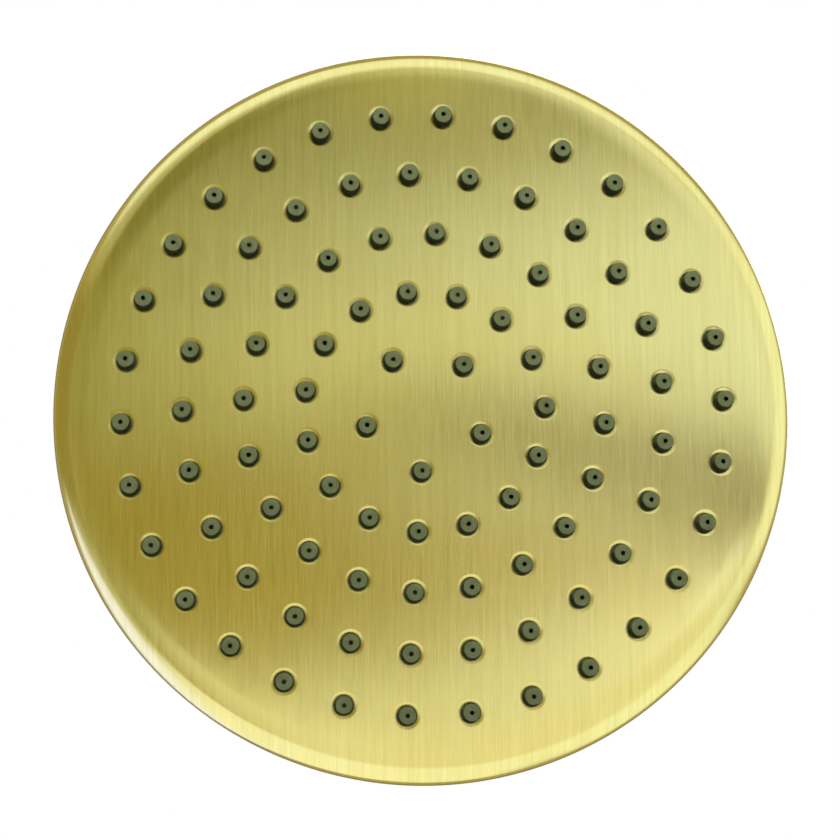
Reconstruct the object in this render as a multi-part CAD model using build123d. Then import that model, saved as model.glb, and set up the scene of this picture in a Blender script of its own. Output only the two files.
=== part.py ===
from build123d import *
import os
from math import asin, cos, degrees, radians, sin, sqrt

# Rain shower head on a ball swivel, hanging as in use: inlet up, spray face down.
# Millimetres. Z is the inlet's axis, and the origin is where the inlet's thread begins, inside its mouth.

# Head: a stamped face plate whose rolled rim is crimped over the flange of a pressed back shell; the rim
# leaves the flat in a wide sweep that tightens to its edge
HEAD_DIAMETER = 200.0
SHEET = 0.8
RIM_SWEEP_RADIUS = 11.2
RIM_SWEEP_ANGLE = 30.0
RIM_EDGE_RADIUS = 4.0
RIM_FOLD = 2.0
RIM_LIP = 3.5
CRIMP_GAP = 0.3
SHELL_FLANGE = 10.5
SHELL_SHOULDER_RUN = 4.0
SHELL_SHOULDER_RISE = 2.6
SHELL_BEND = 3.0
SHELL_CROWN = 3.2
SHELL_SEAT_WIDTH = 2.5

# Nozzles: five rings that share one ray, moulded in one silicone mat
RING_COUNTS = (5, 15, 20, 25, 30)
RING_MARGIN = 18.5
PATTERN_TURN = -50.2
NOZZLE_TIP_DIAMETER = 4.6
NOZZLE_ROOT_DIAMETER = 4.9
NOZZLE_STAND_OUT = 3.2
JET_DIAMETER = 1.2
BORE_DIAMETER = 3.0
HOLE_GAP = 0.1
HOLE_DISH = 1.2
HOLE_DISH_DEPTH = 0.12
MAT_THICKNESS = 1.6
BEAD_WIDTH = 3.5
BEAD_MARGIN = 0.8

# Inlet: a female G1/2 socket, 18.63 mm inside its thread, turned in one piece with its neck and ball
THREAD_DIAMETER = 18.63
THREAD_LENGTH = 12.0
RELIEF_STEP = 1.4
RELIEF_HEIGHT = 3.0
SOCKET_WALL = 1.3
SOCKET_FLOOR = 3.0
SOCKET_CHAMFER = 0.8
HEX_BEVEL = 1.2
NECK_LENGTH = 14.0
NECK_WALL = 2.2
WATERWAY_DIAMETER = 10.0
BALL_DIAMETER = 20.0
BALL_END_WIDTH = 0.8

# Swivel: the ball turns between two liners, held in a threaded cup by a nut; angles from straight up
LINER_THICKNESS = 2.4
SLIDE_GAP = 0.1
NECK_RING_GAP = 0.35
NECK_RING_SPAN = 21.5
NECK_RING_SLIT = 1.0
SEAL_START = 105.0
SEAL_SPAN = 33.0
CUP_WALL = 1.2
CUP_FLOOR = 2.0
OUTLET_STEP = 1.0
FLANGE_WIDTH = 3.2
FLANGE_THICKNESS = 2.5
SPIGOT_WALL = 3.0
BRAZE_GAP = 0.05
NUT_WALL = 2.4
NUT_FLATS_WALL = 1.2
NUT_FLATS_HEIGHT = 6.0
NUT_LIP = 1.5
NUT_SEAT_HEIGHT = 0.5
NUT_OPENING_GAP = 0.6
NUT_CLEARANCE = 0.7
NUT_BEVEL = 1.0
THREAD_GAP = 0.1

# Inlet fittings: strainer, washer and flow restrictor
WASHER_THICKNESS = 2.4
WASHER_GAP = 0.12
WASHER_BORE = 10.0
SCREEN_RIM = 2.1
SCREEN_THICKNESS = 0.5
SCREEN_GAP = 0.1
RESTRICTOR_LEDGE = 0.9
RESTRICTOR_THICKNESS = 4.0
RESTRICTOR_GAP = 0.1
RESTRICTOR_THROAT = 3.6
RESTRICTOR_ENTRY = 8.0

# Cutters run this far past the faces that they open
OVERCUT = 1.0

# Swivel radii, and heights above the ball's centre, that follow from the sizes above
ball_radius = BALL_DIAMETER / 2
waterway = WATERWAY_DIAMETER / 2
neck_radius = waterway + NECK_WALL
liner_inside = ball_radius + SLIDE_GAP
liner_outside = liner_inside + LINER_THICKNESS
cup_radius = liner_outside + SLIDE_GAP
cup_outer = cup_radius + CUP_WALL
cup_outlet = waterway + OUTLET_STEP
cup_seat = -sqrt(cup_radius ** 2 - cup_outlet ** 2) - CUP_FLOOR
flange_radius = cup_outer + FLANGE_WIDTH
flange_top = cup_seat + FLANGE_THICKNESS
spigot_radius = cup_outlet + SPIGOT_WALL
nut_bore = cup_outer + THREAD_GAP
nut_radius = nut_bore + NUT_WALL
nut_opening = ball_radius + NUT_OPENING_GAP
nut_top = sqrt(cup_radius ** 2 - nut_opening ** 2) + NUT_LIP

# Head radii, and heights above the face
head_radius = HEAD_DIAMETER / 2
sweep = radians(RIM_SWEEP_ANGLE)
flat_radius = head_radius - RIM_EDGE_RADIUS - (RIM_SWEEP_RADIUS - RIM_EDGE_RADIUS) * sin(sweep)
rim_depth = RIM_SWEEP_RADIUS - (RIM_SWEEP_RADIUS - RIM_EDGE_RADIUS) * cos(sweep)
rim_height = rim_depth + RIM_FOLD
shell_flange_top = rim_height - SHEET
shell_flange_under = shell_flange_top - SHEET
shell_edge = head_radius - RIM_FOLD - CRIMP_GAP
shell_seat = flange_radius + SHELL_SEAT_WIDTH
shell_height = shell_flange_top + SHELL_SHOULDER_RISE + SHELL_CROWN
ring_step = (head_radius - RING_MARGIN) / len(RING_COUNTS)

# Levels below the origin
thread_radius = THREAD_DIAMETER / 2
relief_radius = thread_radius + RELIEF_STEP
hex_flat = relief_radius + SOCKET_WALL
socket_floor = -THREAD_LENGTH - RELIEF_HEIGHT
hex_under = socket_floor - SOCKET_FLOOR
ball_level = hex_under - NECK_LENGTH
face_level = ball_level + cup_seat - shell_height
restrictor_radius = waterway + RESTRICTOR_LEDGE
restrictor_under = socket_floor - RESTRICTOR_THICKNESS
washer_radius = thread_radius - WASHER_GAP
washer_top = socket_floor + WASHER_THICKNESS
screen_recess = washer_radius - SCREEN_RIM

UPWARD = (Align.CENTER, Align.CENTER, Align.MIN)
DOWNWARD = (Align.CENTER, Align.CENTER, Align.MAX)


def turned(*points):
    """A solid of revolution about Z from the corners (radius, height) of its half section."""
    return revolve(Plane.XZ * make_face(Polyline(*points, close=True)), Axis.Z)


def turned_outline(*edges):
    """A solid of revolution about Z from the lines and arcs round its half section."""
    return revolve(Plane.XZ * make_face(edges), Axis.Z)


def liner(start, span):
    """A ring round the ball, cut from a hollow sphere by two cones that open at these angles."""

    def on_sphere(radius, angle):
        return (radius * sin(radians(angle)), radius * cos(radians(angle)))

    middle = start + span / 2
    end = start + span
    return turned_outline(
        Line(on_sphere(liner_inside, start), on_sphere(liner_outside, start)),
        ThreePointArc(*[on_sphere(liner_outside, angle) for angle in (start, middle, end)]),
        Line(on_sphere(liner_outside, end), on_sphere(liner_inside, end)),
        ThreePointArc(*[on_sphere(liner_inside, angle) for angle in (end, middle, start)]),
    )


def at_nozzles(shape):
    """Copies of a shape at every nozzle, ring by ring from the inside."""
    copies = []
    for ring, count in enumerate(RING_COUNTS, start=1):
        copies += [place * shape for place in PolarLocations(ring * ring_step, count, PATTERN_TURN)]
    return copies


def face_plate():
    """Flat sheet with a rolled rim, a crimped lip and a dished hole for every nozzle."""
    sweep_middle = (flat_radius, RIM_SWEEP_RADIUS)
    edge_middle = (head_radius - RIM_EDGE_RADIUS, rim_depth)
    edge_turn = 90 - RIM_SWEEP_ANGLE
    fold_middle = (head_radius - RIM_FOLD, rim_depth)
    lip_start = head_radius - RIM_FOLD
    lip_end = lip_start - RIM_LIP
    plate = turned_outline(
        Line((0, 0), (flat_radius, 0)),
        CenterArc(sweep_middle, RIM_SWEEP_RADIUS, -90, RIM_SWEEP_ANGLE),
        CenterArc(edge_middle, RIM_EDGE_RADIUS, -edge_turn, edge_turn),
        CenterArc(fold_middle, RIM_FOLD, 0, 90),
        Line((lip_start, rim_height), (lip_end, rim_height)),
        Line((lip_end, rim_height), (lip_end, rim_height - SHEET)),
        Line((lip_end, rim_height - SHEET), (lip_start, rim_height - SHEET)),
        CenterArc(fold_middle, RIM_FOLD - SHEET, 0, 90),
        CenterArc(edge_middle, RIM_EDGE_RADIUS - SHEET, -edge_turn, edge_turn),
        CenterArc(sweep_middle, RIM_SWEEP_RADIUS - SHEET, -90, RIM_SWEEP_ANGLE),
        Line((flat_radius, SHEET), (0, SHEET)),
        Line((0, SHEET), (0, 0)),
    )
    hole = NOZZLE_ROOT_DIAMETER / 2 + HOLE_GAP
    dish_slope = HOLE_DISH / HOLE_DISH_DEPTH
    dished_hole = turned(
        (0, -OVERCUT),
        (hole + HOLE_DISH + dish_slope * OVERCUT, -OVERCUT),
        (hole, HOLE_DISH_DEPTH),
        (hole, SHEET + OVERCUT),
        (0, SHEET + OVERCUT),
    )
    return Pos(Z=face_level) * (plate - at_nozzles(dished_hole))


def nozzle_mat():
    """Silicone mat behind the face plate: nozzles through its holes and a sealing bead round the edge."""
    bead_outside = flat_radius - BEAD_MARGIN
    bead_inside = bead_outside - BEAD_WIDTH
    mat_top = SHEET + MAT_THICKNESS
    mat = turned(
        (0, SHEET),
        (bead_outside, SHEET),
        (bead_outside, shell_flange_under),
        (bead_inside, shell_flange_under),
        (bead_inside, mat_top),
        (0, mat_top),
    )
    nozzle = turned(
        (0, -NOZZLE_STAND_OUT),
        (NOZZLE_TIP_DIAMETER / 2, -NOZZLE_STAND_OUT),
        (NOZZLE_ROOT_DIAMETER / 2, SHEET),
        (0, SHEET),
    )
    bore = Pos(Z=-NOZZLE_STAND_OUT) * Cone(
        JET_DIAMETER / 2, BORE_DIAMETER / 2, NOZZLE_STAND_OUT + mat_top, align=UPWARD
    )
    return Pos(Z=face_level) * (mat + at_nozzles(nozzle) - at_nozzles(bore))


def back_shell():
    """Pressed shell: a flat flange under the crimp, a bent shoulder and a low crown up to the inlet cup."""
    shoulder = shell_edge - SHELL_FLANGE
    foot = shoulder - SHELL_SHOULDER_RUN
    foot_level = shell_flange_top + SHELL_SHOULDER_RISE
    hole = spigot_radius + BRAZE_GAP

    def skin(drop):
        return [
            Line((shell_edge, shell_flange_top - drop), (shoulder, shell_flange_top - drop)),
            Line((shoulder, shell_flange_top - drop), (foot, foot_level - drop)),
            TangentArc((shell_seat, shell_height - drop), (foot, foot_level - drop), tangent=(1, 0)),
            Line((shell_seat, shell_height - drop), (hole, shell_height - drop)),
        ]

    edges = [
        Line((shell_edge, shell_flange_top), (shell_edge, shell_flange_under)),
        Line((hole, shell_height), (hole, shell_height - SHEET)),
    ]
    section = make_face(skin(0) + skin(SHEET) + edges)
    bends = section.vertices().filter_by_position(Axis.X, foot - SHEET, shoulder + SHEET)
    section = fillet(bends, SHELL_BEND)
    return Pos(Z=face_level) * revolve(Plane.XZ * section, Axis.Z)


def inlet_cup():
    """Brass cup brazed to the shell: a threaded wall round the ball, a flange and a water outlet."""
    top = NUT_SEAT_HEIGHT - THREAD_GAP
    bottom = cup_seat - SHEET
    body = turned(
        (0, bottom),
        (spigot_radius, bottom),
        (spigot_radius, cup_seat),
        (flange_radius, cup_seat),
        (flange_radius, flange_top),
        (cup_outer, flange_top),
        (cup_outer, top),
        (0, top),
    )
    water_outlet = Pos(Z=bottom - OVERCUT) * Cylinder(cup_outlet, OVERCUT - bottom, align=UPWARD)
    return Pos(Z=ball_level) * (body - Sphere(cup_radius) - water_outlet)


def ball_nut():
    """Nut on the cup: a round shoulder that holds the ball in by its liner, and two spanner flats."""
    bottom = flange_top + NUT_CLEARANCE
    body = turned(
        (0, bottom),
        (nut_radius, bottom),
        (nut_radius, nut_top - NUT_BEVEL),
        (nut_radius - NUT_BEVEL, nut_top),
        (0, nut_top),
    )
    thread = Pos(Z=NUT_SEAT_HEIGHT) * Cylinder(nut_bore, NUT_SEAT_HEIGHT - bottom + OVERCUT, align=DOWNWARD)
    mouth = Cylinder(nut_opening, nut_top + OVERCUT, align=UPWARD)
    beyond_flat = Box(2 * nut_radius, nut_radius, NUT_FLATS_HEIGHT, align=(Align.CENTER, Align.MIN, Align.MAX))
    beyond_flat = Pos(Y=nut_bore + NUT_FLATS_WALL, Z=nut_top) * beyond_flat
    flats = [beyond_flat, Rot(Z=180) * beyond_flat]
    return Pos(Z=ball_level) * (body - Sphere(cup_radius) - thread - mouth - flats)


def neck_ring():
    """Split liner between the nut's shoulder and the upper half of the ball, sprung over the neck."""
    start = degrees(asin((neck_radius + NECK_RING_GAP) / liner_inside))
    slit = Box(liner_outside, NECK_RING_SLIT, liner_outside, align=(Align.MIN, Align.CENTER, Align.MIN))
    return Pos(Z=ball_level) * (liner(start, NECK_RING_SPAN) - slit)


def ball_seal():
    """Rubber seal between the cup and the lower half of the ball."""
    return Pos(Z=ball_level) * liner(SEAL_START, SEAL_SPAN)


def swivel_ball():
    """Hollow ball, neck and hexagon socket in one turned piece."""
    hex_height = SOCKET_CHAMFER - hex_under
    hexagon = Pos(Z=hex_under) * extrude(RegularPolygon(hex_flat, 6, major_radius=False), hex_height)
    hex_corner = hex_flat / cos(radians(30))
    bar = turned(
        (0, hex_under),
        (hex_corner - HEX_BEVEL, hex_under),
        (hex_corner, hex_under + HEX_BEVEL),
        (hex_corner, SOCKET_CHAMFER - HEX_BEVEL),
        (hex_corner - HEX_BEVEL, SOCKET_CHAMFER),
        (0, SOCKET_CHAMFER),
    )
    neck = Pos(Z=hex_under) * Cylinder(neck_radius, NECK_LENGTH, align=DOWNWARD)
    ball_end = -sqrt(ball_radius ** 2 - (waterway + BALL_END_WIDTH) ** 2)
    cut_off = Pos(Z=ball_end) * Cylinder(ball_radius, ball_radius, align=DOWNWARD)
    ball = Pos(Z=ball_level) * (Sphere(ball_radius) - cut_off)
    restrictor_seat = restrictor_radius + RESTRICTOR_GAP
    hollow = turned(
        (0, SOCKET_CHAMFER + OVERCUT),
        (thread_radius + SOCKET_CHAMFER + OVERCUT, SOCKET_CHAMFER + OVERCUT),
        (thread_radius, 0),
        (thread_radius, -THREAD_LENGTH),
        (relief_radius, -THREAD_LENGTH),
        (relief_radius, socket_floor),
        (restrictor_seat, socket_floor),
        (restrictor_seat, restrictor_under),
        (waterway, restrictor_under),
        (waterway, ball_level - ball_radius),
        (0, ball_level - ball_radius),
    )
    return (hexagon & bar) + neck + ball - hollow


def flow_restrictor():
    """Plastic plug under the washer, its entry narrowing to a throat."""
    return Pos(Z=restrictor_under) * turned(
        (RESTRICTOR_THROAT / 2, 0),
        (restrictor_radius, 0),
        (restrictor_radius, RESTRICTOR_THICKNESS),
        (RESTRICTOR_ENTRY / 2, RESTRICTOR_THICKNESS),
        (RESTRICTOR_THROAT / 2, RESTRICTOR_THICKNESS / 2),
    )


def inlet_washer():
    """Rubber washer on the socket's floor, with a recess for the strainer."""
    return turned(
        (WASHER_BORE / 2, socket_floor),
        (washer_radius, socket_floor),
        (washer_radius, washer_top),
        (screen_recess, washer_top),
        (screen_recess, washer_top - SCREEN_THICKNESS),
        (WASHER_BORE / 2, washer_top - SCREEN_THICKNESS),
    )


def filter_screen():
    """Strainer disc of woven wire, laid in the washer's recess."""
    return Pos(Z=washer_top) * Cylinder(screen_recess - SCREEN_GAP, SCREEN_THICKNESS, align=DOWNWARD)


PIECES = {
    "face_plate": face_plate,
    "nozzle_mat": nozzle_mat,
    "back_shell": back_shell,
    "inlet_cup": inlet_cup,
    "ball_nut": ball_nut,
    "neck_ring": neck_ring,
    "ball_seal": ball_seal,
    "swivel_ball": swivel_ball,
    "flow_restrictor": flow_restrictor,
    "inlet_washer": inlet_washer,
    "filter_screen": filter_screen,
}

os.makedirs("parts", exist_ok=True)
for name, make in PIECES.items():
    export_step(make(), f"parts/{name}.step")
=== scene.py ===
import math

import bmesh
import bpy
import numpy as np
from mathutils import Matrix, Vector
from mathutils.geometry import delaunay_2d_cdt


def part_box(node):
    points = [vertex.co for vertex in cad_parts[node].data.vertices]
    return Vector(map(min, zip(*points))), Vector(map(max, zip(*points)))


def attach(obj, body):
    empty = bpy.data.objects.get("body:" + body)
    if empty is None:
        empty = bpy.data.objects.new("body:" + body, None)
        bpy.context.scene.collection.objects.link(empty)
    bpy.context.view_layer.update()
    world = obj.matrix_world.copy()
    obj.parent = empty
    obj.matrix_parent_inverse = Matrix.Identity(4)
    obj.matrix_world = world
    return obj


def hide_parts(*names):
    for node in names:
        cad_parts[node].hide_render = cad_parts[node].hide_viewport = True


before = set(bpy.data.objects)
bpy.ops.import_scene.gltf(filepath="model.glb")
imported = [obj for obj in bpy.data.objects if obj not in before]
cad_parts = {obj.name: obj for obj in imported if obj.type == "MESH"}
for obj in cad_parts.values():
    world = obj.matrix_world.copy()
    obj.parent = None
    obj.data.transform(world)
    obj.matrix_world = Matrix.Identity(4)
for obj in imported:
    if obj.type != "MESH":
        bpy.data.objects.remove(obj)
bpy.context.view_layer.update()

# Face plate: a stamped sheet disc with a brass finish, brushed in straight lines along Y.
# Its holes are punched from the front, which leaves a shallow dish round each, and its rim sweeps back
# from the flat and is crimped over the back shell.
MM = 0.001
SHEET = 0.8 * MM
RIM_START_RADIUS = 35.0 * MM
RIM_START_ANGLE = math.radians(8)
RIM_SWEEP_RADIUS = 11.2 * MM
RIM_SWEEP_ANGLE = math.radians(30)
RIM_EDGE_RADIUS = 4.0 * MM
RIM_FOLD = 2.0 * MM
RIM_LIP = 3.5 * MM
CRIMP_EDGE = 0.25 * MM
RIM_SIDES = 256
plate_low, plate_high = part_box("face_plate")
face = plate_low.z
rim_top = plate_high.z
head_radius = plate_high.x
edge_level = rim_top - RIM_FOLD
edge_turn = math.radians(90) - RIM_SWEEP_ANGLE
rim_depth = RIM_SWEEP_RADIUS * (1 - math.cos(RIM_SWEEP_ANGLE))
rim_sweep = rim_depth - RIM_START_RADIUS * (1 - math.cos(RIM_START_ANGLE))
rim_sweep /= math.cos(RIM_START_ANGLE) - math.cos(RIM_SWEEP_ANGLE)
flat_radius = head_radius - RIM_EDGE_RADIUS * (1 - math.sin(RIM_SWEEP_ANGLE))
flat_radius -= RIM_START_RADIUS * math.sin(RIM_START_ANGLE)
flat_radius -= rim_sweep * (math.sin(RIM_SWEEP_ANGLE) - math.sin(RIM_START_ANGLE))

RING_COUNTS = (5, 15, 20, 25, 30)
RING_MARGIN = 18.5 * MM
PATTERN_TURN = math.radians(-50.2)
ring_step = (head_radius - RING_MARGIN) / len(RING_COUNTS)
nozzle_places = []
for ring, count in enumerate(RING_COUNTS, start=1):
    for number in range(count):
        turn = PATTERN_TURN + 2 * math.pi * number / count
        nozzle_places.append((ring * ring_step * math.cos(turn), ring * ring_step * math.sin(turn)))

HOLE_RADIUS = 2.55 * MM
HOLE_EDGE = 0.1 * MM
DISH_RADIUS = 3.75 * MM
DISH_DEPTH = 0.12 * MM
DISH_CURVE = 1.3
DISH_STEPS = 6
HOLE_SIDES = 40


def rounded(*corners, arc_step=15):
    """A half section's corners (radius, height, rounding), with arcs at the rounded ones."""
    points = []
    for place, (radius, height, rounding) in enumerate(corners):
        corner = Vector((radius, height))
        if rounding == 0:
            points.append(corner)
            continue
        back = (Vector(corners[place - 1][:2]) - corner).normalized()
        onward = (Vector(corners[(place + 1) % len(corners)][:2]) - corner).normalized()
        bend = math.pi - back.angle(onward)
        middle = corner + (back + onward).normalized() * rounding / math.cos(bend / 2)
        start = corner + back * rounding * math.tan(bend / 2) - middle
        side = 1 if back.x * onward.y - back.y * onward.x < 0 else -1
        steps = max(2, math.ceil(math.degrees(bend) / arc_step))
        for step in range(steps + 1):
            points.append(middle + Matrix.Rotation(side * bend * step / steps, 2) @ start)
    return np.array(points)


def strips(rows, sides, closed=False):
    """The faces between rings of points. In a closed skin the last ring joins the first."""
    faces = []
    for row in range(rows if closed else rows - 1):
        here = row * sides
        there = (row + 1) % rows * sides
        for side in range(sides):
            beside = (side + 1) % sides
            faces.append((here + side, here + beside, there + beside, there + side))
    return faces


def wrapped(radii, heights, centre=(0, 0), closed=False):
    """A skin round an upright axis, from rows of radii and heights, as points and faces."""
    rows, sides = radii.shape
    turns = np.arange(sides) * 2 * math.pi / sides
    across = centre[0] + radii * np.cos(turns)
    along = centre[1] + radii * np.sin(turns)
    points = np.stack((across, along, heights), axis=2)
    return points.reshape(-1, 3), strips(rows, sides, closed)


def turned(profile, sides, centre=(0, 0), closed=False):
    """The skin that a profile of (radius, height) sweeps about an upright axis."""
    radii = np.repeat(profile[:, :1], sides, axis=1)
    heights = np.repeat(profile[:, 1:], sides, axis=1)
    return wrapped(radii, heights, centre, closed)


def punched(edge_radius, edge_sides, hole_radius, hole_sides, height):
    """A flat disc with a round hole at every nozzle, as points and triangles."""
    circles = [((0, 0), edge_radius, edge_sides)]
    circles += [(place, hole_radius, hole_sides) for place in nozzle_places]
    points = []
    edges = []
    circle_of = []
    for number, (centre, radius, sides) in enumerate(circles):
        first = len(points)
        points += turned(np.array([(radius, height)]), sides, centre)[0].tolist()
        edges += [(first + side, first + (side + 1) % sides) for side in range(sides)]
        circle_of += [number] * sides
    flat = [Vector((x / MM, y / MM)) for x, y, z in points]
    same_point = 1e-6
    found, sources = delaunay_2d_cdt(flat, edges, [], 0, same_point)[2:4]
    triangles = []
    for triangle in found:
        corners = [sources[corner][0] for corner in triangle]
        touched = {circle_of[corner] for corner in corners}
        if len(touched) > 1 or touched == {0}:
            triangles.append(corners)
    return np.array(points), triangles


def welded(name, skins):
    """One closed piece from skins that share their edges, smooth apart from its sharp corners."""
    sharp_corner = math.radians(35)
    same_place = 0.0005 * MM
    points = np.concatenate([skin_points for skin_points, skin_faces in skins])
    faces = []
    first = 0
    for skin_points, skin_faces in skins:
        faces += [[first + corner for corner in corners] for corners in skin_faces]
        first += len(skin_points)
    mesh = bpy.data.meshes.new(name)
    mesh.from_pydata(points.tolist(), [], faces)
    whole = bmesh.new()
    whole.from_mesh(mesh)
    bmesh.ops.remove_doubles(whole, verts=whole.verts, dist=same_place)
    bmesh.ops.recalc_face_normals(whole, faces=whole.faces)
    for side in whole.faces:
        side.smooth = True
    for edge in whole.edges:
        edge.smooth = edge.calc_face_angle(0) < sharp_corner
    whole.to_mesh(mesh)
    whole.free()
    piece = bpy.data.objects.new(name, mesh)
    bpy.context.scene.collection.objects.link(piece)
    shading = piece.modifiers.new("even_shading", "WEIGHTED_NORMAL")
    shading.keep_sharp = True
    return piece


def rim_bends(inset):
    """The corners of the rim's front and of its edge, on the outside or this far inside it."""
    start = RIM_START_RADIUS - inset
    sweep = rim_sweep - inset
    edge = RIM_EDGE_RADIUS - inset
    first = flat_radius + start * math.tan(RIM_START_ANGLE / 2)
    onward = first - flat_radius + sweep * math.tan((RIM_SWEEP_ANGLE - RIM_START_ANGLE) / 2)
    second = first + onward * math.cos(RIM_START_ANGLE)
    return [
        (first, face + inset, start),
        (second, face + inset + onward * math.sin(RIM_START_ANGLE), sweep),
        (head_radius - inset, edge_level - edge * math.tan(edge_turn / 2), edge),
        (head_radius - inset, rim_top - inset, RIM_FOLD - inset),
    ]


rim = turned(rounded(
    (flat_radius, face, 0),
    *rim_bends(0),
    (head_radius - RIM_FOLD - RIM_LIP, rim_top, CRIMP_EDGE),
    (head_radius - RIM_FOLD - RIM_LIP, rim_top - SHEET, CRIMP_EDGE),
    *reversed(rim_bends(SHEET)),
    (flat_radius, face + SHEET, 0),
    arc_step=5,
), RIM_SIDES)

dish = []
for step in range(DISH_STEPS):
    inward = step / DISH_STEPS
    radius = DISH_RADIUS + (HOLE_RADIUS - DISH_RADIUS) * inward
    dish.append((radius, face + DISH_DEPTH * inward ** DISH_CURVE, 0))
dish.append((HOLE_RADIUS, face + DISH_DEPTH, HOLE_EDGE))
dish.append((HOLE_RADIUS, face + SHEET, 0))
dishes = [turned(rounded(*dish), HOLE_SIDES, place) for place in nozzle_places]
front = punched(flat_radius, RIM_SIDES, DISH_RADIUS, HOLE_SIDES, face)
back = punched(flat_radius, RIM_SIDES, HOLE_RADIUS, HOLE_SIDES, face + SHEET)
brushed_face = welded("brushed_face", [front, back, rim] + dishes)

brushing = brushed_face.data.uv_layers.new(name="brushing")
for corner in brushed_face.data.loops:
    brushing.uv[corner.index].vector = brushed_face.data.vertices[corner.vertex_index].co.xy

BRASS = (0.53, 0.46, 0.13, 1)
BRASS_SHADE = (0.43, 0.37, 0.09, 1)
BRASS_WARM = (0.50, 0.39, 0.08, 1)
BRUSHED_SHINE = 0.8
SHADED_SHARE = 0.6
WARM_SHARE = 0.4
LINE_DARKENING = 0.14
LINE_LIGHTENING = 0.12
LINE_BUMP = 0.12
LINE_ROUGHNESS = 0.15
BUMP_DEPTH = 0.02 * MM


def new_material(name):
    """A material, its shader's inputs, and functions that add a node and feed the shader."""
    material = bpy.data.materials.new(name)
    material.use_nodes = True
    tree = material.node_tree
    shader = tree.nodes["Principled BSDF"]

    def add(kind, inputs=None, **settings):
        node = tree.nodes.new(kind)
        for setting, value in settings.items():
            setattr(node, setting, value)
        for socket, value in (inputs or {}).items():
            if isinstance(value, bpy.types.NodeSocket):
                tree.links.new(value, node.inputs[socket])
            else:
                node.inputs[socket].default_value = value
        return node.outputs

    def feed(**sources):
        for socket, source in sources.items():
            tree.links.new(source, shader.inputs[socket.replace("_", " ")])

    return material, shader.inputs, add, feed


def mixed(add, factor, first, second):
    """A colour between two, from a mix node's colour sockets."""
    return add("ShaderNodeMix", {0: factor, 6: first, 7: second}, data_type="RGBA")[2]


def spread(add, value, low, high, start=0.0, end=1.0):
    """A value's range from low to high, carried over to one from start to end."""
    names = {"Value": value, "From Min": low, "From Max": high, "To Min": start, "To Max": end}
    return add("ShaderNodeMapRange", names)["Result"]


def noise(add, where, scale, detail, roughness=0.5):
    """A grey pattern of noise."""
    inputs = {"Vector": where, "Scale": scale, "Detail": detail, "Roughness": roughness}
    return add("ShaderNodeTexNoise", inputs)["Fac"]


def relief(add, strength, height):
    """A normal bent by a fine relief."""
    inputs = {"Strength": strength, "Distance": BUMP_DEPTH, "Height": height}
    return add("ShaderNodeBump", inputs)["Normal"]


def brushed_brass(name, lines_at, tangent, line_turn, roughness, line, length, depth):
    """Brass with fine lines; lines_at and tangent add the nodes that say how the lines run."""
    material, shader, add, feed = new_material(name)
    shader["Metallic"].default_value = 1.0
    shader["Anisotropic"].default_value = BRUSHED_SHINE
    shader["Anisotropic Rotation"].default_value = line_turn
    here = add("ShaderNodeTexCoord")["Object"]
    line_scale = (1 / line, 1 / length, 1 / length)
    lines = add("ShaderNodeMapping", {"Vector": lines_at(add), "Scale": line_scale})["Vector"]
    fine = noise(add, lines, scale=1.0, detail=4.0, roughness=0.6)
    broad = noise(add, lines, scale=0.16, detail=3.0)
    clouds = noise(add, here, scale=30.0, detail=4.0)
    shaded = spread(add, broad, 0.3, 0.7, 1 - SHADED_SHARE * depth, 1.0)
    toned = mixed(add, shaded, BRASS_SHADE, BRASS)
    toned = mixed(add, spread(add, clouds, 0.45, 0.75, 0.0, WARM_SHARE), toned, BRASS_WARM)
    lined = spread(add, fine, 0.25, 0.75, 1 - LINE_DARKENING * depth, 1 + LINE_LIGHTENING * depth)
    toned = add("ShaderNodeVectorMath", {0: toned, "Scale": lined}, operation="SCALE")["Vector"]
    smoother = (1 - LINE_ROUGHNESS) * roughness
    rougher = (1 + LINE_ROUGHNESS) * roughness
    rough = spread(add, fine, 0.25, 0.75, smoother, rougher)
    height = add("ShaderNodeMath", {0: fine, 1: broad}, operation="ADD")["Value"]
    normal = relief(add, LINE_BUMP * depth, height)
    feed(Base_Color=toned, Roughness=rough, Tangent=tangent(add), Normal=normal)
    return material


def straight_lines(add):
    """Coordinates whose first axis crosses lines along Y."""
    return add("ShaderNodeTexCoord")["Object"]


def straight_tangent(add):
    """The direction across the lines, from the face's own map."""
    return add("ShaderNodeTangent", direction_type="UV_MAP", uv_map="brushing")["Tangent"]


brass_sheet = brushed_brass(
    "brushed_brass",
    straight_lines,
    straight_tangent,
    line_turn=0.0,
    roughness=0.2,
    line=0.2 * MM,
    length=10 * MM,
    depth=0.75,
)
brushed_face.data.materials.append(brass_sheet)
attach(brushed_face, "head")
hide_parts("face_plate")

# Nozzle mat: one moulding of olive-grey silicone behind the face plate, its nozzles pushed out
# through the holes so that limescale can be rubbed off. A bead round its edge seals the head.
NOZZLE_TIP = 2.3 * MM
NOZZLE_ROOT = 2.45 * MM
TIP_EDGE = 0.2 * MM
JET_RADIUS = 0.6 * MM
JET_EDGE = 0.05 * MM
BORE_RADIUS = 1.5 * MM
JET_SIDES = 32
MAT_THICKNESS = 1.6 * MM
BEAD_WIDTH = 3.5 * MM
BEAD_EDGE = 0.5 * MM
mat_low, mat_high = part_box("nozzle_mat")
mat_under = face + SHEET
mat_top = mat_under + MAT_THICKNESS
bead_outside = mat_high.x
bead_inside = bead_outside - BEAD_WIDTH

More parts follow.
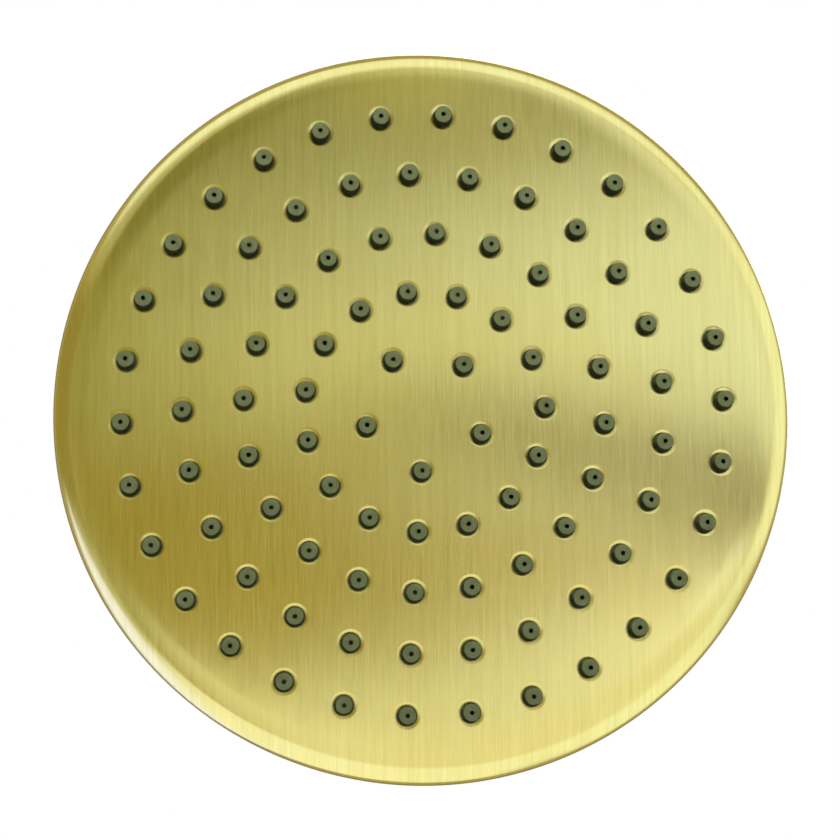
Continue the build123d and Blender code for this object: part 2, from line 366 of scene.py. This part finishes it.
nozzle = rounded(
    (NOZZLE_ROOT, mat_under, 0),
    (NOZZLE_TIP, mat_low.z, TIP_EDGE),
    (JET_RADIUS, mat_low.z, JET_EDGE),
    (BORE_RADIUS, mat_top, 0),
)
nozzles = [turned(nozzle, JET_SIDES, place) for place in nozzle_places]
bead = turned(rounded(
    (bead_outside, mat_under, 0),
    (bead_outside, mat_high.z, BEAD_EDGE),
    (bead_inside, mat_high.z, BEAD_EDGE),
    (bead_inside, mat_top, 0),
), RIM_SIDES)
mat_front = punched(bead_outside, RIM_SIDES, NOZZLE_ROOT, JET_SIDES, mat_under)
mat_back = punched(bead_inside, RIM_SIDES, BORE_RADIUS, JET_SIDES, mat_top)
silicone_mat = welded("silicone_mat", [mat_front, mat_back, bead] + nozzles)

SILICONE = (0.13, 0.152, 0.062, 1)
SILICONE_PALE = (0.18, 0.205, 0.10, 1)
SILICONE_SHINE = 0.01
SILICONE_BUMP = 0.15
silicone, shader, add, feed = new_material("nozzle_silicone")
shader["Specular IOR Level"].default_value = SILICONE_SHINE
here = add("ShaderNodeTexCoord")["Object"]
grain = noise(add, here, scale=4000.0, detail=3.0)
film = noise(add, here, scale=350.0, detail=2.0)
feed(
    Base_Color=mixed(add, spread(add, film, 0.35, 0.75, 0.0, 0.7), SILICONE, SILICONE_PALE),
    Roughness=spread(add, grain, 0.3, 0.7, 0.62, 0.8),
    Normal=relief(add, SILICONE_BUMP, grain),
)
silicone_mat.data.materials.append(silicone)
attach(silicone_mat, "head")
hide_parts("nozzle_mat")

# Back shell: a pressed and spun sheet dome in the same finish, held at its flange by the rim's crimp.
# It was brushed while it turned, so its lines run round the inlet.
QUARTER_TURN = 0.25


def ring_lines(add):
    """Coordinates whose first axis crosses lines round the inlet's axis."""
    here = add("ShaderNodeTexCoord")["Object"]
    apart = add("ShaderNodeSeparateXYZ", {"Vector": here})
    level = add("ShaderNodeCombineXYZ", {"X": apart["X"], "Y": apart["Y"]})["Vector"]
    outward = add("ShaderNodeVectorMath", {0: level}, operation="LENGTH")["Value"]
    across = add("ShaderNodeMath", {0: outward, 1: apart["Z"]}, operation="SUBTRACT")["Value"]
    return add("ShaderNodeCombineXYZ", {"X": across, "Y": apart["X"], "Z": apart["Y"]})["Vector"]


def ring_tangent(add):
    """The direction along the lines, round the inlet's axis."""
    return add("ShaderNodeTangent", direction_type="RADIAL", axis="Z")["Tangent"]


def finished(node, material):
    """Gives a solid of the frame its finish."""
    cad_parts[node].data.materials.clear()
    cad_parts[node].data.materials.append(material)


spun_brass = brushed_brass(
    "spun_brass",
    ring_lines,
    ring_tangent,
    line_turn=QUARTER_TURN,
    roughness=0.36,
    line=0.09 * MM,
    length=20 * MM,
    depth=0.4,
)
finished("back_shell", spun_brass)

# Inlet cup: turned from brass bar and brazed to the shell by its flange and spigot.
# Its upper wall has the thread for the nut, and its inside is the lower half of the ball's seat.
BALL_LEVEL = -32.0 * MM
SEAT_RADIUS = 12.6 * MM
CUP_RADIUS = 13.8 * MM
CUP_OUTLET = 6.0 * MM
SPIGOT_RADIUS = 9.0 * MM
FLANGE_THICKNESS = 2.5 * MM
SOFT_EDGE = 0.25 * MM
TURNED_SIDES = 192
ARC_POINTS = 17
cup_low, cup_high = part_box("inlet_cup")
cup_seat = cup_low.z + SHEET


def ball_arc(radius, start, end):
    """Corners of a half section round the ball's centre, between two angles from straight up."""
    turns = np.linspace(start, end, ARC_POINTS)
    return [(radius * math.sin(turn), BALL_LEVEL + radius * math.cos(turn), 0) for turn in turns]


cup = welded("cup", [turned(rounded(
    (SPIGOT_RADIUS, cup_low.z, SOFT_EDGE),
    (SPIGOT_RADIUS, cup_seat, 0),
    (cup_high.x, cup_seat, SOFT_EDGE),
    (cup_high.x, cup_seat + FLANGE_THICKNESS, 2 * SOFT_EDGE),
    (CUP_RADIUS, cup_seat + FLANGE_THICKNESS, SOFT_EDGE),
    (CUP_RADIUS, cup_high.z, SOFT_EDGE),
    *ball_arc(
        SEAT_RADIUS,
        math.acos((cup_high.z - BALL_LEVEL) / SEAT_RADIUS),
        math.pi - math.asin(CUP_OUTLET / SEAT_RADIUS),
    ),
    (CUP_OUTLET, cup_low.z, SOFT_EDGE),
), TURNED_SIDES, closed=True)])
turned_brass = brushed_brass(
    "turned_brass",
    ring_lines,
    ring_tangent,
    line_turn=QUARTER_TURN,
    roughness=0.3,
    line=0.06 * MM,
    length=20 * MM,
    depth=0.3,
)
cup.data.materials.append(turned_brass)
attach(cup, "head")
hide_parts("inlet_cup")

# Ball nut: turned from brass bar, screwed onto the cup and keeping the ball in by its shoulder.
# Two flats are milled in its upper part for a spanner.
NUT_BORE = 13.9 * MM
NUT_MOUTH = 10.6 * MM
NUT_SEAT = 0.5 * MM
NUT_BEVEL = 1.0 * MM
NUT_FLAT = 15.1 * MM
NUT_FLATS_HEIGHT = 6.0 * MM
LEDGE_DROP = 0.1 * MM
LEAST_SINE = 0.1
nut_low, nut_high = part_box("ball_nut")
ledge = nut_high.z - NUT_FLATS_HEIGHT
nut_section = rounded(
    (NUT_BORE, nut_low.z, SOFT_EDGE),
    (nut_high.x, nut_low.z, SOFT_EDGE),
    (nut_high.x, ledge - LEDGE_DROP, 0),
    (nut_high.x, ledge, 0),
    (nut_high.x, nut_high.z - NUT_BEVEL, SOFT_EDGE),
    (nut_high.x - NUT_BEVEL, nut_high.z, SOFT_EDGE),
    (NUT_MOUTH, nut_high.z, SOFT_EDGE),
    *ball_arc(SEAT_RADIUS, math.asin(NUT_MOUTH / SEAT_RADIUS), math.acos(NUT_SEAT / SEAT_RADIUS)),
    (NUT_BORE, BALL_LEVEL + NUT_SEAT, 0),
)
turns = np.arange(TURNED_SIDES) * 2 * math.pi / TURNED_SIDES
nut_radii = np.repeat(nut_section[:, :1], TURNED_SIDES, axis=1)
nut_heights = np.repeat(nut_section[:, 1:], TURNED_SIDES, axis=1)
to_flat = NUT_FLAT / np.maximum(np.abs(np.sin(turns)), LEAST_SINE)
milled = nut_heights > ledge - LEDGE_DROP / 2
nut_radii = np.where(milled, np.minimum(nut_radii, to_flat), nut_radii)
nut = welded("nut", [wrapped(nut_radii, nut_heights, closed=True)])
nut.data.materials.append(turned_brass)
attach(nut, "head")
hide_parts("ball_nut")

# Liners of the swivel: a split white plastic ring above the ball, which shows in the nut's mouth,
# and a black rubber seal below it.
PLASTIC = (0.78, 0.77, 0.73, 1)
PLASTIC_SHADE = (0.66, 0.65, 0.6, 1)
RUBBER = (0.018, 0.018, 0.018, 1)
RUBBER_PALE = (0.045, 0.045, 0.043, 1)
MOULDED_BUMP = 0.1
MOULDED_ROUGHNESS = 0.06


def moulded(name, colour, shade, roughness):
    """Moulded plastic or rubber: a slightly uneven tone and a fine grain."""
    material, shader, add, feed = new_material(name)
    here = add("ShaderNodeTexCoord")["Object"]
    cloud = noise(add, here, scale=300.0, detail=3.0)
    grain = noise(add, here, scale=5000.0, detail=2.0)
    smoother = roughness - MOULDED_ROUGHNESS
    rougher = roughness + MOULDED_ROUGHNESS
    feed(
        Base_Color=mixed(add, spread(add, cloud, 0.35, 0.7), colour, shade),
        Roughness=spread(add, grain, 0.3, 0.7, smoother, rougher),
        Normal=relief(add, MOULDED_BUMP, grain),
    )
    return material


seal_rubber = moulded("seal_rubber", RUBBER, RUBBER_PALE, 0.6)
finished("neck_ring", moulded("liner_plastic", PLASTIC, PLASTIC_SHADE, 0.42))
finished("ball_seal", seal_rubber)

# Swivel ball: ball, neck and hexagon socket turned from one hexagon bar of brass.
# The socket has a female half-inch pipe thread, right-handed, cut down to a relief at the washer.
BALL_RADIUS = 10.0 * MM
BALL_END = 5.8 * MM
WATERWAY = 5.0 * MM
NECK_RADIUS = 7.2 * MM
NECK_FILLET = 0.6 * MM
HEX_UNDER = -18.0 * MM
HEX_BEVEL = 1.2 * MM
HEX_EDGE = 0.15 * MM
MOUTH_CHAMFER = 0.8 * MM
THREAD_RADIUS = 9.315 * MM
THREAD_DEPTH = 1.162 * MM
THREAD_PITCH = 1.814 * MM
THREAD_LENGTH = 12.0 * MM
THREAD_STEPS = 84
RELIEF_RADIUS = 10.715 * MM
SOCKET_FLOOR = -15.0 * MM
HEX_SIDE = math.radians(60)
RESTRICTOR_SEAT = 6.0 * MM
RESTRICTOR_UNDER = -19.0 * MM
ball_low, ball_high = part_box("swivel_ball")
hex_top = ball_high.z
hex_radius = ball_high.y / np.cos(turns % HEX_SIDE - HEX_SIDE / 2)
hex_bevel = np.maximum(hex_radius - ball_high.x + HEX_BEVEL, HEX_EDGE)
below_hex = rounded(
    (WATERWAY, ball_low.z, HEX_EDGE),
    *ball_arc(
        BALL_RADIUS,
        math.pi - math.asin(BALL_END / BALL_RADIUS),
        math.asin(NECK_RADIUS / BALL_RADIUS),
    ),
    (NECK_RADIUS, HEX_UNDER, NECK_FILLET),
    (ball_high.y, HEX_UNDER, 0),
)[:-1]
levels = list(below_hex)
levels += [
    (hex_radius - hex_bevel, HEX_UNDER),
    (hex_radius, HEX_UNDER + hex_bevel),
    (hex_radius, hex_top - hex_bevel),
    (hex_radius - hex_bevel, hex_top),
    (THREAD_RADIUS + MOUTH_CHAMFER, hex_top),
]
for step in range(THREAD_STEPS + 1):
    depth = THREAD_LENGTH * step / THREAD_STEPS
    groove = 0.5 - 0.5 * np.cos(2 * math.pi * depth / THREAD_PITCH + turns)
    cut = min(1, 2 * depth / THREAD_PITCH, (THREAD_LENGTH - depth) / THREAD_PITCH)
    levels.append((THREAD_RADIUS + THREAD_DEPTH * cut * groove, -depth))
levels += [
    (RELIEF_RADIUS, -THREAD_LENGTH),
    (RELIEF_RADIUS, SOCKET_FLOOR),
    (RESTRICTOR_SEAT, SOCKET_FLOOR),
    (RESTRICTOR_SEAT, RESTRICTOR_UNDER),
    (WATERWAY, RESTRICTOR_UNDER),
]
socket_radii = np.array([np.broadcast_to(radius, TURNED_SIDES) for radius, height in levels])
socket_heights = np.array([np.broadcast_to(height, TURNED_SIDES) for radius, height in levels])
socket = welded("ball_and_socket", [wrapped(socket_radii, socket_heights, closed=True)])
socket.data.materials.append(turned_brass)
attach(socket, "inlet")
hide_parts("swivel_ball")

# Flow restrictor and washer: a grey plastic plug pressed into the neck, and a rubber washer
# laid on it and on the socket's floor.
RESTRICTOR = (0.5, 0.55, 0.57, 1)
RESTRICTOR_SHADE = (0.4, 0.45, 0.47, 1)
finished("flow_restrictor", moulded("restrictor_plastic", RESTRICTOR, RESTRICTOR_SHADE, 0.5))
finished("inlet_washer", seal_rubber)

# Strainer: steel wire woven over and under, its edge pressed in a flat steel ring,
# laid in the washer's recess.
WIRE_PITCH = 0.95 * MM
WIRE_RADIUS = 0.11 * MM
WIRE_SWAY = 0.12 * MM
WIRE_SIDES = 8
WIRE_STEPS = 4
WIRE_RING = 0.8 * MM
WIRE_RING_EDGE = 0.15 * MM
WIRE_RING_SIDES = 96
STEEL = (0.56, 0.56, 0.55, 1)
STEEL_SHADE = (0.42, 0.42, 0.41, 1)
screen_low, screen_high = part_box("filter_screen")
screen_radius = screen_high.x
screen_middle = (screen_low.z + screen_high.z) / 2
pressed_ring = rounded(
    (screen_radius - WIRE_RING, screen_low.z, WIRE_RING_EDGE),
    (screen_radius, screen_low.z, WIRE_RING_EDGE),
    (screen_radius, screen_high.z, WIRE_RING_EDGE),
    (screen_radius - WIRE_RING, screen_high.z, WIRE_RING_EDGE),
)
weave = [turned(pressed_ring, WIRE_RING_SIDES, closed=True)]
around = np.arange(WIRE_SIDES) * 2 * math.pi / WIRE_SIDES
reach = screen_radius - WIRE_RING / 2
last_wire = int(reach / WIRE_PITCH)
for number in range(-last_wire, last_wire + 1):
    aside = number * WIRE_PITCH
    half = math.sqrt(reach ** 2 - aside ** 2)
    steps = 2 * math.ceil(WIRE_STEPS * half / WIRE_PITCH)
    along = np.linspace(-half, half, steps + 1)[:, None]
    sway = WIRE_SWAY * np.cos(math.pi * (along / WIRE_PITCH + number))
    run = np.repeat(along, WIRE_SIDES, axis=1)
    side = np.tile(aside + WIRE_RADIUS * np.cos(around), (len(along), 1))
    rise = WIRE_RADIUS * np.sin(around)
    faces = strips(len(along), WIRE_SIDES)
    faces.append(list(range(WIRE_SIDES)))
    faces.append(list(range((len(along) - 1) * WIRE_SIDES, len(along) * WIRE_SIDES)))
    warp = np.stack((run, side, screen_middle + sway + rise), axis=2).reshape(-1, 3)
    weft = np.stack((side, run, screen_middle - sway + rise), axis=2).reshape(-1, 3)
    weave += [(warp, faces), (weft, faces)]
strainer = welded("woven_strainer", weave)

wire_mesh, shader, add, feed = new_material("wire_mesh")
shader["Metallic"].default_value = 1.0
here = add("ShaderNodeTexCoord")["Object"]
wear = noise(add, here, scale=900.0, detail=3.0)
feed(
    Base_Color=mixed(add, spread(add, wear, 0.35, 0.7), STEEL, STEEL_SHADE),
    Roughness=spread(add, wear, 0.3, 0.7, 0.28, 0.4),
)
strainer.data.materials.append(wire_mesh)
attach(strainer, "inlet")
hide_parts("filter_screen")

# Studio: the head hangs over a plain pale floor in a white room. Reflectors and flags, which only
# the brass shows, stand where the photograph's surroundings were, and soft lamps light the rest.
FLOOR_LEVEL = -1.25
FLOOR_SIZE = 12.0
FLOOR_TONE = (0.86, 0.86, 0.85, 1)
FLOOR_WHITE = 0.75
ROOM_LIGHT = 0.1
WALL_SHADE = (0.18, 0.18, 0.09, 1)
WALL_WINDOW = (0.55, 0.62, 0.98, 1)
CURTAIN_RADIUS = 1.3
CURTAIN_FOOT = -0.48
CURTAIN_TOP = 1.0
CURTAIN_SIDES = 64
CURTAIN_LIGHT = (0.74, 0.66, 0.42)


def seen_directly(nodes, links):
    """One for rays of the camera, of reflections and through glass, and zero for light on surfaces."""
    path = nodes.new("ShaderNodeLightPath")
    seen = path.outputs["Is Camera Ray"]
    for kind in ("Is Glossy Ray", "Is Transmission Ray"):
        either = nodes.new("ShaderNodeMath")
        either.operation = "MAXIMUM"
        links.new(seen, either.inputs[0])
        links.new(path.outputs[kind], either.inputs[1])
        seen = either.outputs["Value"]
    clear = nodes.new("ShaderNodeMath")
    clear.operation = "GREATER_THAN"
    links.new(seen, clear.inputs[0])
    links.new(path.outputs["Diffuse Depth"], clear.inputs[1])
    return clear.outputs["Value"]


def brightness(nodes, links, plain, white):
    """A strength: plain for light on surfaces, and white for rays that see the thing itself."""
    choice = nodes.new("ShaderNodeMapRange")
    choice.inputs["To Min"].default_value = plain
    choice.inputs["To Max"].default_value = white
    links.new(seen_directly(nodes, links), choice.inputs["Value"])
    return choice.outputs["Result"]


world = bpy.data.worlds.new("white_room")
bpy.context.scene.world = world
world.use_nodes = True
world_nodes = world.node_tree.nodes
world_links = world.node_tree.links
room = brightness(world_nodes, world_links, ROOM_LIGHT, 1.0)
world_nodes["Background"].inputs["Color"].default_value = (1, 1, 1, 1)
world_links.new(room, world_nodes["Background"].inputs["Strength"])


def staged(name, points, faces):
    """A matt thing of the studio, with its shader's inputs and its two node functions."""
    mesh = bpy.data.meshes.new(name)
    mesh.from_pydata(points, [], faces)
    piece = bpy.data.objects.new(name, mesh)
    bpy.context.scene.collection.objects.link(piece)
    material, shader, add, feed = new_material(name)
    shader["Roughness"].default_value = 0.9
    shader["Specular IOR Level"].default_value = 0.0
    mesh.materials.append(material)
    return piece, shader, add, feed


def sheet(width, height):
    """The corners and the face of a flat sheet round the origin."""
    x = width / 2
    y = height / 2
    return [(-x, -y, 0), (x, -y, 0), (x, y, 0), (-x, y, 0)], [(0, 1, 2, 3)]


floor, shader, add, feed = staged("floor", *sheet(FLOOR_SIZE, FLOOR_SIZE))
floor.location.z = FLOOR_LEVEL
shader["Base Color"].default_value = FLOOR_TONE
shader["Emission Color"].default_value = (1, 1, 1, 1)
floor_tree = floor.active_material.node_tree
feed(Emission_Strength=brightness(floor_tree.nodes, floor_tree.links, 0.0, FLOOR_WHITE))


def reflected(piece, light, shader, add, feed):
    """Makes a thing of the studio show in the brass alone, with the given light."""
    piece.visible_camera = False
    piece.visible_diffuse = False
    piece.visible_shadow = False
    strength = max(light)
    shader["Base Color"].default_value = (0, 0, 0, 1)
    shader["Emission Color"].default_value = (*[part / strength for part in light], 1)
    scattered = add("ShaderNodeLightPath")["Diffuse Depth"]
    feed(Emission_Strength=spread(add, scattered, 0.0, 1.0, strength, 0.0))


def card(name, centre, facing, width, height, light, cover=1.0, feather=0.1, turn=0):
    """A reflector or flag with soft edges, turned in its own plane by some degrees."""
    piece, shader, add, feed = staged(name, *sheet(width, height))
    reflected(piece, light, shader, add, feed)
    front = Vector(facing).normalized()
    level = Vector((-front.y, front.x, 0)).normalized() if front.xy.length else Vector((1, 0, 0))
    upright = Matrix((level, front.cross(level), front)).transposed()
    piece.rotation_euler = (upright @ Matrix.Rotation(math.radians(turn), 3, "Z")).to_euler()
    piece.location = centre
    spot = add("ShaderNodeSeparateXYZ", {"Vector": add("ShaderNodeTexCoord")["Object"]})
    edges = []
    for axis, size in (("X", width), ("Y", height)):
        off = add("ShaderNodeMath", {0: spot[axis]}, operation="ABSOLUTE")["Value"]
        limits = {"Value": off, "From Min": size / 2, "From Max": size / 2 - feather}
        edges.append(add("ShaderNodeMapRange", limits, interpolation_type="SMOOTHSTEP")["Result"])
    both = add("ShaderNodeMath", {0: edges[0], 1: edges[1]}, operation="MULTIPLY")["Value"]
    feed(Alpha=add("ShaderNodeMath", {0: both, 1: cover}, operation="MULTIPLY")["Value"])
    return spot, add, feed


head_centre = Vector((0, 0, face))


def hung(azimuth, from_below, distance):
    """Where a card hangs round the head, and which way it faces: to the head's middle."""
    turn = math.radians(azimuth)
    lean = math.radians(from_below)
    aside = math.sin(lean)
    away = Vector((aside * math.cos(turn), aside * math.sin(turn), -math.cos(lean)))
    return head_centre + distance * away, -away


UP = (0, 0, 1)
spot, add, feed = card("graded_wall", (0.03, -0.07, -0.70), UP, 1.1, 1.1, (3, 3, 3), feather=0.25)
shade_to_window = spread(add, spot["X"], -0.17, 0.18)
feed(Emission_Color=mixed(add, shade_to_window, WALL_SHADE, WALL_WINDOW))

# Each card: its place and facing, width, height, light, cover, the breadth of its soft edge, its turn.
card("top_flag", (-0.06, -0.315, -0.69), UP, 0.64, 0.30, (0.34, 0.34, 0.15), 0.95)
card("top_gleam", (0.035, -0.42, -0.66), UP, 0.13, 0.42, (1.5, 1.5, 1.3), 0.7, 0.05)
card("middle_glow", (0.035, -0.093, -0.685), UP, 0.26, 0.15, (1.6, 1.68, 1.75), 0.75, 0.07)
card("camera_flag", (-0.13, -0.01, -0.68), UP, 0.36, 0.15, (0.58, 0.49, 0.16), 0.8, 0.05)
card("band_flag", (0.34, 0.005, -0.67), UP, 0.70, 0.07, (0.28, 0.22, 0.04), 0.95, 0.03, 16)
card("band_end", (0.285, -0.008, -0.665), UP, 0.24, 0.11, (0.22, 0.16, 0.02), 0.95, 0.045, 14)
card("warm_flag", (-0.01, 0.028, -0.675), UP, 0.42, 0.12, (0.7, 0.58, 0.12), 0.75, 0.05, -5)
card("shade_flag", (-0.05, 0.015, -0.672), UP, 0.29, 0.12, (0.5, 0.4, 0.05), 0.42, 0.05, 14)
card("corner_glow", (0.20, 0.025, -0.685), UP, 0.28, 0.16, (2.7, 2.85, 4.7), 0.75, 0.07)
card("foot_glow", (0.11, 0.27, -0.69), UP, 0.66, 0.46, (1.62, 1.64, 2.0), 1.0, 0.08)
card("left_glow", (-0.36, 0.30, -0.66), UP, 0.30, 0.28, (1.1, 1.05, 0.8), 0.8)
card("foot_reflector", *hung(98, 64, 0.6), 0.9, 1.05, (1.85, 1.98, 2.85), 1.0, 0.2)
card("corner_reflector", *hung(46, 68, 0.75), 0.8, 1.25, (1.8, 2.0, 2.8), 1.0, 0.25)
card("left_reflector", *hung(138, 84, 0.8), 0.85, 1.2, (1.85, 2.05, 5.2), 1.0, 0.15, -48)
card("left_flag", *hung(190, 70, 0.85), 0.7, 1.4, (0.56, 0.50, 0.24), 1.0, 0.15)
card("top_strip", *hung(272, 63, 0.8), 2.2, 0.75, (1.8, 2.0, 3.0), 1.0, 0.27, 7)
card("right_window", *hung(-8, 70, 0.75), 1.05, 1.15, (1.8, 2.0, 2.9), 1.0, 0.3)
card("ceiling", (0, 0, 0.95), (0, 0, -1), 2.6, 2.6, (0.35, 0.30, 0.20), 1.0, 0.2)
curtain_edges = np.array([(CURTAIN_RADIUS, CURTAIN_FOOT), (CURTAIN_RADIUS, CURTAIN_TOP)])
curtain_skin, curtain_faces = turned(curtain_edges, CURTAIN_SIDES)
curtain, shader, add, feed = staged("curtain", curtain_skin.tolist(), curtain_faces)
reflected(curtain, CURTAIN_LIGHT, shader, add, feed)


def soft_box(name, centre, aim, width, height, radiance):
    """A soft box of the given radiance, turned to a point of the object."""
    lamp = bpy.data.lights.new(name, "AREA")
    lamp.shape = "RECTANGLE"
    lamp.size = width
    lamp.size_y = height
    lamp.energy = radiance * math.pi * width * height
    light = bpy.data.objects.new(name, lamp)
    bpy.context.scene.collection.objects.link(light)
    light.location = centre
    light.rotation_euler = (Vector(aim) - Vector(centre)).to_track_quat("-Z", "Y").to_euler()
    light.visible_camera = False
    return light


soft_box("overhead_box", (0.25, -0.3, 0.9), head_centre, width=0.9, height=0.9, radiance=3.5)
front_box = soft_box(
    "front_box", (0.0, -0.42, -0.62), head_centre, width=0.25, height=0.25, radiance=26.0
)
front_box.visible_glossy = False

# Camera: a long lens below the head, a little to its front left, looking up at the spray face.
# Its place was fitted to the jets and the outline.
LENS = 93.13
NEAR_LIMIT = 10 * MM
VIEW_DISTANCE = 583.0 * MM
VIEW_TILT = math.radians(6.61)
VIEW_SWING = math.radians(3.51)
VIEW_SHIFT_RIGHT = -1.60 * MM
VIEW_SHIFT_DOWN = 2.67 * MM
toward = Vector((
    -math.sin(VIEW_SWING),
    math.cos(VIEW_SWING) * math.sin(VIEW_TILT),
    -math.cos(VIEW_SWING) * math.cos(VIEW_TILT),
))
up = Vector((0, -math.cos(VIEW_TILT), -math.sin(VIEW_TILT)))
right = up.cross(toward)
lens = bpy.data.cameras.new("camera")
lens.lens = LENS
lens.clip_start = NEAR_LIMIT
camera = bpy.data.objects.new("camera", lens)
bpy.context.scene.collection.objects.link(camera)
camera.matrix_world = Matrix((right, up, toward)).transposed().to_4x4()
tips = Vector((0, 0, mat_low.z))
camera.location = tips + VIEW_SHIFT_RIGHT * right - VIEW_SHIFT_DOWN * up + VIEW_DISTANCE * toward
bpy.context.scene.camera = camera
bpy.context.scene.view_settings.view_transform = "Standard"
